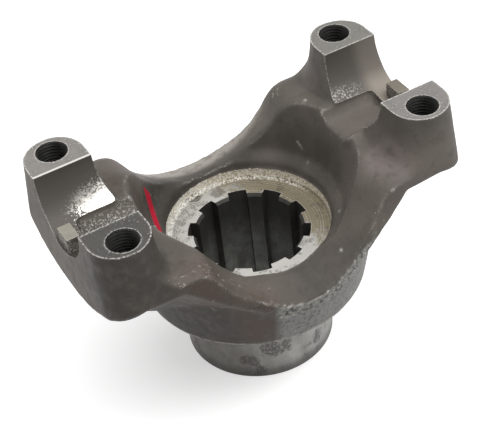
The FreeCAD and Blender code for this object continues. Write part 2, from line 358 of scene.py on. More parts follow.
forged, tree = new_material("as-forged steel under scale and oil")
place = add(tree, "TexCoord", out="Object")
along_arm = add(tree, "Mapping", {"Vector": place, "Scale": (0.3, 1, 1)})
cloud = add(tree, "TexNoise", {"Vector": place, "Scale": 1 / CLOUD_SIZE, "Detail": 5, "Roughness": 0.55})
mottle = add(tree, "TexNoise", {"Vector": place, "Scale": 1 / MOTTLE_SIZE, "Detail": 6, "Roughness": 0.6})
grain = add(tree, "TexNoise", {"Vector": place, "Scale": 1 / GRAIN_SIZE, "Detail": 3, "Roughness": 0.6})
broken = add(tree, "TexNoise", {"Vector": place, "Scale": 1 / BREAK_SIZE, "Detail": 5, "Roughness": 0.7})
scratchy = add(tree, "TexNoise", {"Vector": along_arm, "Scale": 1 / SCRATCH_WIDTH, "Detail": 4,
                                  "Roughness": 0.7})
flecks = add(tree, "TexVoronoi", {"Vector": place, "Scale": 1 / FLECK_SPACING}, out="Distance")

thin_scale = add(tree, "MapRange", {0: cloud, 1: 0.35, 2: 0.65})
thick_scale = add(tree, "MapRange", {0: mottle, 1: 0.5, 2: 0.75, 4: 0.45})
colour = coat(tree, linear(SCALE_BROWN), (SCALE_WARM, thin_scale), (DARK_SCALE_AND_SHADE, thick_scale))
for mask, tint, pattern, none_at, full_at, strength in (
        ("hollow_shade", DARK_SCALE_AND_SHADE, mottle, 0.3, 0.5, 0.7),
        ("shade_and_oil", DARK_SCALE_AND_SHADE, mottle, 0.0, 0.5, 0.82),
        ("rust", RUST, mottle, 0.3, 0.6, 0.6),
        ("pale_and_lit", DUSTY_PINK_AND_LIT, mottle, 0.2, 0.5, 0.8),
        ("bare", BARE_GREY, mottle, 0.2, 0.45, 0.9),
        ("bare", DARK_SCALE_AND_SHADE, broken, 0.52, 0.6, 0.6),
        ("bare", BRIGHT, broken, 0.4, 0.3, 0.5),
        ("torn", TORN_GREY, mottle, 0.2, 0.4, 1.0),
        ("torn", DARK_SCALE_AND_SHADE, broken, 0.48, 0.56, 0.85),
        ("torn", BRIGHT, broken, 0.4, 0.32, 0.85),
        ("lit_rim", RUBBED_AND_LIT, mottle, 0.3, 0.52, 0.9),
        ("scuffed", BRIGHT, scratchy, 0.56, 0.66, 0.7),
        ("speckled", BRIGHT, grain, 0.5, 0.66, 0.6),
        ("lip", RUBBED_AND_LIT, mottle, 0.35, 0.5, 0.8),
        ("crest", BRIGHT, broken, 0.46, 0.54, 0.7),
        ("nicked", BRIGHT, grain, 0.3, 0.45, 0.8),
        ("worn", RUBBED_AND_LIT, mottle, 0.42, 0.58, 0.75),
        ("worn", BRIGHT, grain, 0.55, 0.66, 0.9)):
    layer = add(tree, "Attribute", attribute_name=mask, out="Fac")
    patchy = add(tree, "MapRange", {0: pattern, 1: none_at, 2: full_at, 4: strength})
    colour = coat(tree, colour, (tint, add(tree, "Math", {0: layer, 1: patchy}, operation="MULTIPLY")))
fleck = add(tree, "MapRange", {0: flecks, 1: 0.1, 2: 0.05, 4: 0.8})
rare = add(tree, "MapRange", {0: cloud, 1: 0.55, 2: 0.62})
colour = coat(tree, colour, (RUBBED_AND_LIT, add(tree, "Math", {0: fleck, 1: rare}, operation="MULTIPLY")))


# The paint stroke.
# An inspector's brush left one short stroke of red enamel down the wall beside the nut pocket.
# It lies flat on the scale, so it has its colour only, with an edge ragged by the scale's grain.
STROKE_LOW = Vector((-30.25, 9, 50)) * MM
STROKE_HIGH = Vector((-26.8, 24.3, 66)) * MM
STROKE_LEAN = 0.227
STROKE_EDGE = 1.35 * MM
STROKE_CORE = 1.05 * MM
STROKE_RAGGED = 0.5 * MM
across, *upwards = add(tree, "SeparateXYZ", {0: place}).node.outputs
middle = add(tree, "Math", {0: upwards[0], 1: STROKE_LEAN, 2: STROKE_HIGH.x - STROKE_LEAN * STROKE_HIGH.y},
             operation="MULTIPLY_ADD")
off_line = add(tree, "Math", {0: across, 1: middle}, operation="SUBTRACT")
off_line = add(tree, "Math", {0: off_line}, operation="ABSOLUTE")
ragged = add(tree, "Math", {0: grain, 1: STROKE_RAGGED, 2: off_line}, operation="MULTIPLY_ADD")
painted = add(tree, "MapRange", {0: ragged, 1: STROKE_EDGE, 2: STROKE_CORE})
for along, low, high in zip(upwards, STROKE_LOW.yz, STROKE_HIGH.yz):
    for bound, kind in ((low, "GREATER_THAN"), (high, "LESS_THAN")):
        inside = add(tree, "Math", {0: along, 1: bound}, operation=kind)
        painted = add(tree, "Math", {0: painted, 1: inside}, operation="MULTIPLY")
colour = coat(tree, colour, (PAINT_RED, painted))

roughness = add(tree, "MapRange", {0: mottle, 1: 0.3, 2: 0.7, 3: SCALE_GLOSS, 4: SCALE_DULL})
torn_mask = add(tree, "Attribute", attribute_name="torn", out="Fac")
torn_depth = add(tree, "Math", {0: torn_mask, 1: grain}, operation="MULTIPLY")
height = add(tree, "Math", {0: mottle, 1: grain}, operation="ADD")
height = add(tree, "Math", {0: torn_depth, 1: 4, 2: height}, operation="MULTIPLY_ADD")
relief = add(tree, "Bump", {"Strength": 0.4, "Distance": SKIN_RELIEF, "Height": height})
surface = add(tree, "BsdfPrincipled", {"Base Color": colour, "Roughness": roughness, "Metallic": 0.0,
                                       "Specular IOR Level": SCALE_SPECULAR, "Normal": relief})
add(tree, "OutputMaterial", {"Surface": surface})


# The milled lobe tops.
# A face mill cuts the four lobe tops level through the forged stock, in lines along the arms.
# Old oil has dulled them, most on the near left one, and the far left one has a worn straight edge with a
# painted highlight.
FAR = 100 * MM                  # beyond the part on every side
MILL_MARKS = 0.6 * MM           # the cutter's feed lines are finer, drawn coarser so that they show
STAIN_SIZE = 5 * MM
SPECK_SIZE = 0.7 * MM           # true specks are finer, drawn coarser so that they show
TOOL_RELIEF = 0.03 * MM
EDGE_WEAR = 0.5 * MM
LOBE_EDGE_WEAR = 1.1 * MM
LEFT_TO_RIGHT = (-MM, MM)       # each pair says where a film has none of its tint and where all
RIGHT_TO_LEFT = (MM, -MM)
NEAR_TO_FAR = (-15 * MM, 15 * MM)
LOBE_EDGE_HIGHLIGHT_Y = (CUP_RADIUS + 1.1 * MM, CUP_RADIUS + 0.6 * MM)
LOBE_NEAR_LEFT = "#514f4c"
LOBE_FAR_LEFT = "#86837f"
LOBE_NEAR_RIGHT = "#817e7b"
LOBE_FAR_RIGHT = "#7a7873"
LOBE_EDGE_HIGHLIGHT = "#f4f2ee"


def cut(piece, bm):
    """Take one cutter's space off the piece."""
    cutter = new_piece("cutter", bm)
    step_off = piece.modifiers.new("cut", "BOOLEAN")
    step_off.operation = "DIFFERENCE"
    step_off.solver = "MANIFOLD"
    step_off.object = cutter
    settle(piece)
    bpy.data.objects.remove(cutter)


def shape(build, *sizes):
    """Cutter's mesh made by one of the functions above."""
    bm = bmesh.new()
    build(bm, *sizes)
    return bm


def within(tree, share, *limits):
    """Share of a film that keeps to its limits, each a socket and where it has none and all of it."""
    for socket, none_at, full_at in limits:
        inside = add(tree, "MapRange", {0: socket, 1: none_at, 2: full_at}, interpolation_type="SMOOTHSTEP")
        share = add(tree, "Math", {0: inside, 1: share}, operation="MULTIPLY")
    return share


def cut_steel(name, gloss, marks_along=(1, 1, 1), marks_apart=1.0 * MM):
    """What all cut steel shares: tool marks, stains, specks, and a gloss that the stains dull."""
    material, tree = new_material(name)
    place = add(tree, "TexCoord", out="Object")
    stretched = add(tree, "Mapping", {"Vector": place, "Scale": marks_along})
    marks = add(tree, "TexNoise", {"Vector": stretched, "Scale": 1 / marks_apart, "Detail": 4})
    stains = add(tree, "TexNoise", {"Vector": place, "Scale": 1 / STAIN_SIZE, "Detail": 7, "Roughness": 0.65})
    specks = add(tree, "TexNoise", {"Vector": place, "Scale": 1 / SPECK_SIZE, "Detail": 3})
    satin = add(tree, "MapRange", {0: stains, 1: 0.3, 2: 0.7, 3: gloss, 4: gloss + 0.15})
    return material, tree, place, marks, stains, specks, satin


def stained_steel(tree, marks, stains, clean, dull, none_at, full_at):
    """Colour of cut steel between its clean and its stained tint, lined by the tool marks."""
    colour = coat(tree, linear(clean), (dull, within(tree, 1.0, (stains, none_at, full_at))))
    lined = add(tree, "MapRange", {0: marks, 1: 0.3, 2: 0.7, 3: 0.82, 4: 1.12})
    return add(tree, "VectorMath", {0: colour, 1: lined}, operation="MULTIPLY")


def finish_steel(tree, colour, roughness, metallic, height, specks=None, edge=0.0, edge_width=EDGE_WEAR):
    """Worn bright edges on a colour, then the tool marks' relief and the shader."""
    if edge:
        rounded = add(tree, "Bevel", {"Radius": edge_width}, samples=6)
        flat = add(tree, "NewGeometry", out="Normal")
        along = add(tree, "VectorMath", {0: rounded, 1: flat}, out="Value", operation="DOT_PRODUCT")
        near_edge = add(tree, "MapRange", {0: along, 1: 0.995, 2: 0.93})
        share = add(tree, "Math", {0: near_edge, 1: edge}, operation="MULTIPLY")
        colour = coat(tree, colour, (BRIGHT, within(tree, share, (specks, 0.35, 0.55))))
    relief = add(tree, "Bump", {"Strength": 0.3, "Distance": TOOL_RELIEF, "Height": height})
    surface = add(tree, "BsdfPrincipled", {"Base Color": colour, "Roughness": roughness, "Metallic": metallic,
                                           "Normal": relief})
    add(tree, "OutputMaterial", {"Surface": surface})


cut(yoke, shape(add_block, (-FAR, -FAR, TOP), (FAR, FAR, TOP + FAR)))

# Milled steel: fine straight lines, half metal and half oil film, with a painted highlight along the worn
# straight edge far left.
milled, tree, place, marks, stains, specks, satin = cut_steel("milled steel", 0.42, (1, 8, 1), MILL_MARKS)
x, y, z = add(tree, "SeparateXYZ", {0: place}).node.outputs
far = within(tree, 1.0, (y, *NEAR_TO_FAR))
left = coat(tree, linear(LOBE_NEAR_LEFT), (LOBE_FAR_LEFT, far))
right = coat(tree, linear(LOBE_NEAR_RIGHT), (LOBE_FAR_RIGHT, far))
colour = coat(tree, left, (right, within(tree, 1.0, (x, *LEFT_TO_RIGHT))))
shade = add(tree, "MapRange", {0: stains, 1: 0.3, 2: 0.7, 3: 1.12, 4: 0.82})
shade = add(tree, "Math", {0: marks, 1: 0.3, 2: shade}, operation="MULTIPLY_ADD")
colour = add(tree, "VectorMath", {0: colour, 1: shade}, operation="MULTIPLY")
from_middle = add(tree, "Math", {0: y}, operation="ABSOLUTE")
# A painted highlight, near white, along the far left lobe's worn straight edge.
straight_edge_highlight = within(tree, 0.9, (from_middle, *LOBE_EDGE_HIGHLIGHT_Y), (x, *RIGHT_TO_LEFT), (y, *NEAR_TO_FAR))
pits = within(tree, 0.8, (specks, 0.6, 0.68), (stains, 0.45, 0.6))
colour = coat(tree, colour, (LOBE_EDGE_HIGHLIGHT, straight_edge_highlight), (BRIGHT, pits))
finish_steel(tree, colour, satin, 0.6, marks, specks, 1.0, LOBE_EDGE_WEAR)


# The turned hub.
# A lathe turns the end face, the tube that the pinion seal runs on and the skirt's shoulder,
# with a radius at the root and a small chamfer. Oil has streaked and blotched the tube.
TUBE_RADIUS = 27.5 * MM
TUBE_CHAMFER = 0.5 * MM
ROOT_RADIUS = 1.5 * MM
SHOULDER_REACH = 46 * MM
LATHE_SIDES = 160
TURNING_MARKS = 1.0 * MM        # the feed lines are finer here too
STREAK_WIDTH = 7 * MM
TUBE_LIT_X = (-27 * MM, 6 * MM)
TUBE_FOOT_SHADOW_Z = (7 * MM, 1.5 * MM)
TUBE_SHADED_LEFT = "#6a6762"
TUBE_LIT_RIGHT = "#9f9e9a"
OLD_OIL = "#3d3935"
TUBE_FOOT_SHADOW = "#33322f"
BLOTCH_RAGGED = 14 * MM
BLOTCH_SOFT = 2 * MM
BLOTCHES = ((-9.3, -25.9, 14.5, 4.6), (-4, -27.2, 15, 3), (9.5, -25.8, 9, 4), (-17, -21.6, 9, 3.8),
            (-13.5, -24, 4, 3.2))       # place and radius in mm

cut(yoke, shape(add_block, (-FAR, -FAR, -FAR), (FAR, FAR, 0)))
root_line = [(TUBE_RADIUS + ROOT_RADIUS * (1 - math.cos(turn)), SHOULDER - ROOT_RADIUS * (1 - math.sin(turn)))
             for turn in QUARTER_TURN]
cut(yoke, shape(add_turned, [(TUBE_RADIUS - TUBE_CHAMFER - MM, -MM), (TUBE_RADIUS, TUBE_CHAMFER), *root_line,
                             (SHOULDER_REACH, SHOULDER), (SHOULDER_REACH, -MM)], LATHE_SIDES))

# Turned steel: rings round the tube, with painted shade to the left and painted light to the right, blotched,
# and a painted shadow nearly black at its foot.
turned, tree, place, marks, stains, specks, satin = cut_steel("turned steel", 0.42, (1, 1, 9), TURNING_MARKS)
x, y, z = add(tree, "SeparateXYZ", {0: place}).node.outputs
down = add(tree, "Math", {0: z, 1: 0.08}, operation="MULTIPLY")
upright = add(tree, "CombineXYZ", {0: x, 1: y, 2: down})
streaks = add(tree, "TexNoise", {"Vector": upright, "Scale": 1 / STREAK_WIDTH, "Detail": 4})
# Painted shade on the left side of the tube and painted light on its right side.
colour = coat(tree, linear(TUBE_SHADED_LEFT), (TUBE_LIT_RIGHT, within(tree, 1.0, (x, *TUBE_LIT_X))))
shade = add(tree, "Math", {0: streaks, 1: stains}, operation="ADD")
shade = add(tree, "MapRange", {0: shade, 1: 0.75, 2: 1.25, 3: 1.2, 4: 0.78})
colour = add(tree, "VectorMath", {0: colour, 1: shade}, operation="MULTIPLY")
blotched = within(tree, 0.6, (stains, 0.6, 0.66))
for *centre, radius in BLOTCHES:
    away = add(tree, "VectorMath", {0: place, 1: Vector(centre) * MM}, out="Value", operation="DISTANCE")
    away = add(tree, "Math", {0: stains, 1: BLOTCH_RAGGED, 2: away}, operation="MULTIPLY_ADD")
    edge = radius * MM + BLOTCH_RAGGED / 2
    blotch = within(tree, 0.8, (away, edge, edge - BLOTCH_SOFT))
    blotched = add(tree, "Math", {0: blotched, 1: blotch}, operation="MAXIMUM")
# The last film is a painted contact shadow, nearly black, round the tube's foot.
colour = coat(tree, colour, (OLD_OIL, within(tree, blotched, (specks, 0.28, 0.52))),
              (TUBE_FOOT_SHADOW, within(tree, 0.7, (z, *TUBE_FOOT_SHADOW_Z))))
finish_steel(tree, colour, satin, 0.5, marks, specks, 0.3)


# The nut seat.
# A counterbore faced on the lathe for the washer of the pinion nut. The nut has rubbed it to
# silver on the left and in front, and old oil keeps it tan on the right. Painted highlights lie on
# its turning rings and along a worn arc at the back, and its tan wall has painted glints.
SEAT_RADIUS = 29.55 * MM
SEAT_CLEARANCE = 12 * MM
RING_SPACING = 0.5 * MM
SEAT_TAN = "#968c76"
SEAT_SILVER = "#c6c4bf"
SEAT_SMEAR = "#544e45"
SEAT_RING_HIGHLIGHT = "#d5d1c6"
SILVER_LEAN = (4 * MM, 12 * MM)
SEAT_RAGGED = 40 * MM
ARC_HIGHLIGHT_REACH = (27.2 * MM, 28.4 * MM)
ARC_HIGHLIGHT_Y = (2 * MM, 14 * MM)
SEAT_ARC_HIGHLIGHT = "#fbf9f4"
WALL_TAN = "#ccc1a9"
WALL_GLINT = "#f6f4ee"
SMEAR_RAGGED = 12 * MM
SMEAR_EDGE = 8.8 * MM
SMEAR_CORE = 7.8 * MM
SMEARS = ((-8.2, 27.2, 0.9), (0.6, 25.4, 0.55), (-19, 18, 0.6))     # place in mm and strength

cut(yoke, shape(add_turned, [(0, NUT_SEAT), (SEAT_RADIUS, NUT_SEAT), (SEAT_RADIUS, NUT_SEAT + SEAT_CLEARANCE),
                             (0, NUT_SEAT + SEAT_CLEARANCE)], LATHE_SIDES))

# Faced steel: concentric rings painted lighter where they catch the light, mostly bare metal.
faced, tree, place, _, stains, specks, satin = cut_steel("faced steel", 0.4)
x, y, z = add(tree, "SeparateXYZ", {0: place}).node.outputs
flat = add(tree, "CombineXYZ", {0: x, 1: y})
reach = add(tree, "VectorMath", {0: flat}, out="Value", operation="LENGTH")
rings = add(tree, "TexNoise", {"W": reach, "Scale": 1 / RING_SPACING, "Detail": 3}, noise_dimensions="1D")
lean = add(tree, "Math", {0: y, 1: -0.3}, operation="MULTIPLY")
lean = add(tree, "Math", {0: x, 1: -0.95, 2: lean}, operation="MULTIPLY_ADD")
lean = add(tree, "Math", {0: stains, 1: SEAT_RAGGED, 2: lean}, operation="MULTIPLY_ADD")
smear = within(tree, 0.6, (stains, 0.52, 0.6), (specks, 0.35, 0.55))
for smear_x, smear_y, strength in SMEARS:
    away = add(tree, "VectorMath", {0: flat, 1: (smear_x * MM, smear_y * MM, 0)}, out="Value",
               operation="DISTANCE")
    away = add(tree, "Math", {0: stains, 1: SMEAR_RAGGED, 2: away}, operation="MULTIPLY_ADD")
    smeared = within(tree, strength, (away, SMEAR_EDGE, SMEAR_CORE))
    smear = add(tree, "Math", {0: smear, 1: smeared}, operation="MAXIMUM")
wall = (z, NUT_SEAT + 0.3 * MM, NUT_SEAT + MM)
colour = coat(tree, linear(SEAT_TAN),
              (SEAT_SILVER, within(tree, 1.0, (lean, *SILVER_LEAN))),
              (SEAT_SMEAR, smear),
              # Painted highlights on the turning rings and along the worn arc at the back, and painted glints
              # on the wall.
              (SEAT_RING_HIGHLIGHT, within(tree, 0.7, (rings, 0.5, 0.7), (specks, 0.3, 0.6))),
              (SEAT_ARC_HIGHLIGHT, within(tree, 0.9, (reach, *ARC_HIGHLIGHT_REACH), (y, *ARC_HIGHLIGHT_Y), (specks, 0.42, 0.58))),
              (WALL_TAN, within(tree, 0.9, wall)),
              (WALL_GLINT, within(tree, 0.95, wall, (specks, 0.44, 0.56))))
metallic = add(tree, "MapRange", {0: within(tree, 1.0, wall), 3: 0.7, 4: 0.25})
height = add(tree, "Math", {0: rings, 1: specks}, operation="ADD")
finish_steel(tree, colour, satin, metallic, height, specks, 0.9)


# The cradles and their lugs.
# A boring bar cuts both half-round seats of the bearing cups in line, and a locating lug is left
# standing in each. A brown film covers them; on the left one the cup has rubbed the inner end bare.
BAR_REACH = 75 * MM
LUG_ROOM = 12 * MM
LUG_EDGE_BREAK = 0.15 * MM
BORING_MARKS = 0.6 * MM
RUBBED_RAGGED = 26 * MM
RUBBED_X = (-60 * MM, -55 * MM)
RUBBED_Z = (TOP - 8.5 * MM, TOP - 13 * MM)
PAINTED_GLARE_X = (-52 * MM, -46 * MM)
FRETTED_X = (60 * MM, 48 * MM)
FRETTED_Z = (TOP - 11 * MM, TOP - 14 * MM)
FAR_WALL_SHADE_Y = (6 * MM, 16 * MM)
NEAR_WALL_SHADE_Y = (-1 * MM, -4 * MM)
OUTER_END_X = (56 * MM, 62 * MM)
CUP_CLEAN = "#b9b6b0"
CUP_DULL = "#a7a39d"
CUP_PAINTED_GLARE = "#e2dfda"
CUP_FRETTED = "#c4bfb9"
FILM_BROWN = "#5a534d"
FILM_FAR_SHADE = "#504b46"
FILM_NEAR_SHADE = "#3a342e"
FILM_OUTER = "#978f83"
LUG_DUSTY = "#a09b8f"
LUG_BROWN = "#7b7468"

along_x = Matrix.Translation((0, 0, TOP)) @ Matrix.Rotation(math.pi / 2, 4, "Y")
bar_line = [(0, -BAR_REACH), (CUP_RADIUS, -BAR_REACH), (CUP_RADIUS, BAR_REACH), (0, BAR_REACH)]
bar = new_piece("boring_bar", shape(add_turned, bar_line, LATHE_SIDES, along_x))
for side in (1, -1):
    ends = sorted((side * LUG_INNER_X, side * (LUG_INNER_X + LUG_THICKNESS)))
    low, high = (ends[0], -LUG_HALF_WIDTH, LUG_TOP - LUG_ROOM), (ends[1], LUG_HALF_WIDTH, LUG_TOP)
    cut(bar, shape(add_block, low, high, LUG_EDGE_BREAK))
space = bmesh.new()
space.from_mesh(bar.data)
bpy.data.objects.remove(bar)
cut(yoke, space)

# Bored steel: a dull brown film that hides the metal, which shines where it is rubbed off, with a painted glare
# on the rubbed inner end of the left cradle.
bored, tree, place, marks, stains, specks, satin = cut_steel("bored steel under a brown film", 0.3, (8, 1, 1),
                                                             BORING_MARKS)
x, y, z = add(tree, "SeparateXYZ", {0: place}).node.outputs
uneven = add(tree, "MapRange", {0: stains, 1: 0.3, 2: 0.7, 3: -1.5 * MM, 4: 1.5 * MM})
uneven = add(tree, "Math", {0: specks, 1: RUBBED_RAGGED, 2: uneven}, operation="MULTIPLY_ADD")
uneven = add(tree, "Math", {0: uneven, 1: RUBBED_RAGGED / 2}, operation="SUBTRACT")
along = add(tree, "Math", {0: x, 1: uneven}, operation="ADD")
depth = add(tree, "Math", {0: uneven, 1: 0.5, 2: z}, operation="MULTIPLY_ADD")
rubbed = within(tree, 1.0, (along, *RUBBED_X), (x, *RIGHT_TO_LEFT), (depth, *RUBBED_Z))
fretted = within(tree, 0.75, (x, *FRETTED_X), (x, *LEFT_TO_RIGHT), (z, *FRETTED_Z), (specks, 0.48, 0.62))
deep = add(tree, "MapRange", {0: z, 1: TOP - 11 * MM, 2: TOP - 15 * MM, 3: 0.35, 4: 0.8})
colour = coat(tree, linear(FILM_BROWN),
              # The brown film is drawn darker on the far wall and darker still on the near wall: painted shade.
              (FILM_FAR_SHADE, within(tree, 1.0, (y, *FAR_WALL_SHADE_Y))),
              (FILM_NEAR_SHADE, within(tree, 0.8, (y, *NEAR_WALL_SHADE_Y))),
              (FILM_OUTER, within(tree, deep, (x, *OUTER_END_X))),
              (stained_steel(tree, marks, stains, CUP_CLEAN, CUP_DULL, 0.4, 0.7), rubbed),
              # A painted glare, near white, on the rubbed inner end of the left cradle.
              (CUP_PAINTED_GLARE, within(tree, rubbed, (x, *PAINTED_GLARE_X))),
              (CUP_FRETTED, fretted))
roughness = add(tree, "Mix", {0: rubbed, 2: 0.55, 3: satin})
metallic = add(tree, "MapRange", {0: rubbed, 3: 0.1, 4: 0.95})
height = add(tree, "Math", {0: fretted, 1: 3, 2: marks}, operation="MULTIPLY_ADD")
finish_steel(tree, colour, roughness, metallic, height, specks, 0.6)

# Milled lug tops: beige with dust on the left one, browner on the right one.
lugs, tree, place, marks, stains, specks, _ = cut_steel("milled lug tops under dust", 0.5, (1, 8, 1),
                                                        MILL_MARKS)
x = add(tree, "SeparateXYZ", {0: place}, out="X")
colour = coat(tree, linear(LUG_DUSTY), (LUG_BROWN, within(tree, 1.0, (x, *LEFT_TO_RIGHT))))
shade = add(tree, "MapRange", {0: stains, 1: 0.3, 2: 0.7, 3: 1.1, 4: 0.85})
colour = add(tree, "VectorMath", {0: colour, 1: shade}, operation="MULTIPLY")
finish_steel(tree, colour, 0.5, 0.3, marks, specks, 0.35)


# The splined bore.
# A broach pulled through the tube leaves ten straight-sided spaces between ten teeth, after a
# drill and a countersink at both ends. Inside it is dark with oil, and painted shade makes it blackest near its
# upper end.
SPACES = 10
BORE_RADIUS = 19.15 * MM
SPACE_RADIUS = 22.225 * MM
SPACE_HALF_WIDTH = 3.465 * MM
LEAD = 1.0 * MM                 # chamfer of the teeth at both ends
SPACE_SPLIT = (-1, -0.5, 0, 0.5, 1)
TOOTH_SPLIT = (0, 0.2, 0.4, 0.6, 0.8, 1)
BROACH_MARKS = 2.0 * MM
BORE_SHADE_Z = (22 * MM, 42 * MM)
BORE_CLEAN = "#74746e"
BORE_DULL = "#5a5954"
BORE_SHADE = "#2b2a26"


def spline_outline(tooth_radius):
    """Outline of the bore seen along its axis, for one radius of the teeth's crests."""
    points = []
    pitch = 2 * math.pi / SPACES
    wide = math.asin(SPACE_HALF_WIDTH / SPACE_RADIUS)
    narrow = math.asin(SPACE_HALF_WIDTH / tooth_radius)
    for index in range(SPACES):
        middle = pitch * index
        points += [(SPACE_RADIUS, middle + wide * share) for share in SPACE_SPLIT]
        points += [(tooth_radius, middle + narrow + (pitch - 2 * narrow) * share) for share in TOOTH_SPLIT]
    return [(radius * math.cos(turn), radius * math.sin(turn)) for radius, turn in points]


levels = [(-LEAD, 2 * LEAD), (LEAD, 0), (NUT_SEAT - LEAD, 0), (NUT_SEAT + LEAD, 2 * LEAD)]
cut(yoke, shape(add_stack, [[(x, y, height) for x, y in spline_outline(BORE_RADIUS + widening)]
                            for height, widening in levels]))

# Broached steel: long faint lines down the bore, more film than metal.
broached, tree, place, marks, stains, _, satin = cut_steel("broached steel", 0.5, (1, 1, 0.1), BROACH_MARKS)
z = add(tree, "SeparateXYZ", {0: place}, out="Z")
# Painted shade darkens the bore towards its upper end.
colour = coat(tree, stained_steel(tree, marks, stains, BORE_CLEAN, BORE_DULL, 0.3, 0.75),
              (BORE_SHADE, within(tree, 0.85, (z, *BORE_SHADE_Z))))
finish_steel(tree, colour, satin, 0.3, marks)


# The strap bolt holes.
# Each lobe is drilled through and tapped 7/16-20 for the bolts of the bearing straps, and
# the mouth of the thread is countersunk. The threads are painted nearly black as shade inside the holes.
THREAD_PITCH = 1.27 * MM
THREAD_MAJOR = 5.55 * MM
THREAD_MINOR = 4.95 * MM
THREAD_BOTTOM = 40 * MM
COUNTERSINK = 0.15 * MM         # how far its rim stands outside the thread
THREAD_AROUND = 28
TURN_STEPS = 4
TAPPED_SHADE = "#2b2a27"
TAPPED_DEEP_SHADE = "#1b1a18"


def add_thread(bm, x, y):
    """Space of a tapped hole: a V thread wound round it, open at both ends."""
    rings = []
    row_height = THREAD_PITCH / TURN_STEPS
    for row in range(math.ceil((TOP + MM - THREAD_BOTTOM) / row_height) + 1):
        height = THREAD_BOTTOM + row * row_height
        ring = []
        for index in range(THREAD_AROUND):
            turn = index / THREAD_AROUND
            phase = (height / THREAD_PITCH - turn) % 1
            depth = 1 - abs(2 * phase - 1)
            radius = THREAD_MINOR + (THREAD_MAJOR - THREAD_MINOR) * depth
            radius = max(radius, THREAD_MAJOR + COUNTERSINK + min(height - TOP, 0))
            angle = 2 * math.pi * turn
            ring.append((x + radius * math.cos(angle), y + radius * math.sin(angle), height))
        rings.append(ring)
    add_stack(bm, rings)


for x in (BOLT_X, -BOLT_X):
    for y in (BOLT_Y, -BOLT_Y):
        cut(yoke, shape(add_thread, x, y))

# Tapped steel: painted nearly black as shade inside the holes, so the threads hardly show.
tapped, tree, _, marks, stains, _, satin = cut_steel("tapped steel", 0.6)
finish_steel(tree, stained_steel(tree, marks, stains, TAPPED_SHADE, TAPPED_DEEP_SHADE, 0.4, 0.6), satin, 0.2, marks)


# The worn and stained places, and painted light and shade.
# Handling and service have rubbed the forging's edges and scuffed its near left crease, and oil
# has stained it. Painted shade darkens its hollows and the sides turned from the light, and painted
# light brightens its up-facing far rim. Vertex attributes say where, and the as-forged finish lays its films
# there.
SHARP_FROM = math.radians(32)

mesh = yoke.data
for polygon in mesh.polygons:
    polygon.use_smooth = True
mesh.set_sharp_from_angle(angle=SHARP_FROM)

count = len(mesh.vertices)
places = np.empty(count * 3)
mesh.vertices.foreach_get("co", places)
places = places.reshape(-1, 3)
normals = np.empty(count * 3)
mesh.vertices.foreach_get("normal", normals)
normals = normals.reshape(-1, 3)
ends = np.empty(len(mesh.edges) * 2, dtype=np.int64)
mesh.edges.foreach_get("vertices", ends)
ends = ends.reshape(-1, 2)

# How far each vertex stands out from its neighbours: high on worn edges, below zero in hollows.
links = np.bincount(ends.ravel(), minlength=count).clip(1)
span = places[ends[:, 0]] - places[ends[:, 1]]
span /= np.linalg.norm(span, axis=1).clip(1e-9)[:, None]
bulge = np.zeros(count)
np.add.at(bulge, ends[:, 0], (span * normals[ends[:, 0]]).sum(1))
np.add.at(bulge, ends[:, 1], -(span * normals[ends[:, 1]]).sum(1))
bulge /= links
for _ in range(2):
    spread = np.zeros(count)
    np.add.at(spread, ends[:, 0], bulge[ends[:, 1]])
    np.add.at(spread, ends[:, 1], bulge[ends[:, 0]])
    bulge = (bulge + spread / links) / 2

x, y, z = (places / MM).T       # the masks are drawn in millimetres
reach = np.hypot(x, y)
upward = normals[:, 2]


def rise(low, high, value):
    """Smooth rise from 0 to 1 between two values, for arrays."""
    share = ((value - low) / (high - low)).clip(0, 1)
    return share * share * (3 - 2 * share)


def spot(centre, radius, softness=0.6):
    """1 about a place in millimetres, and 0 beyond the radius."""
    away = np.linalg.norm(places / MM - np.array(centre), axis=1)
    return rise(radius, radius * (1 - softness), away)


def scratch(start, end, steps, radius):
    """Small spots in a row from one place to another."""
    return sum(spot(Vector(start).lerp(Vector(end), index / (steps - 1)), radius, 1) for index in range(steps))


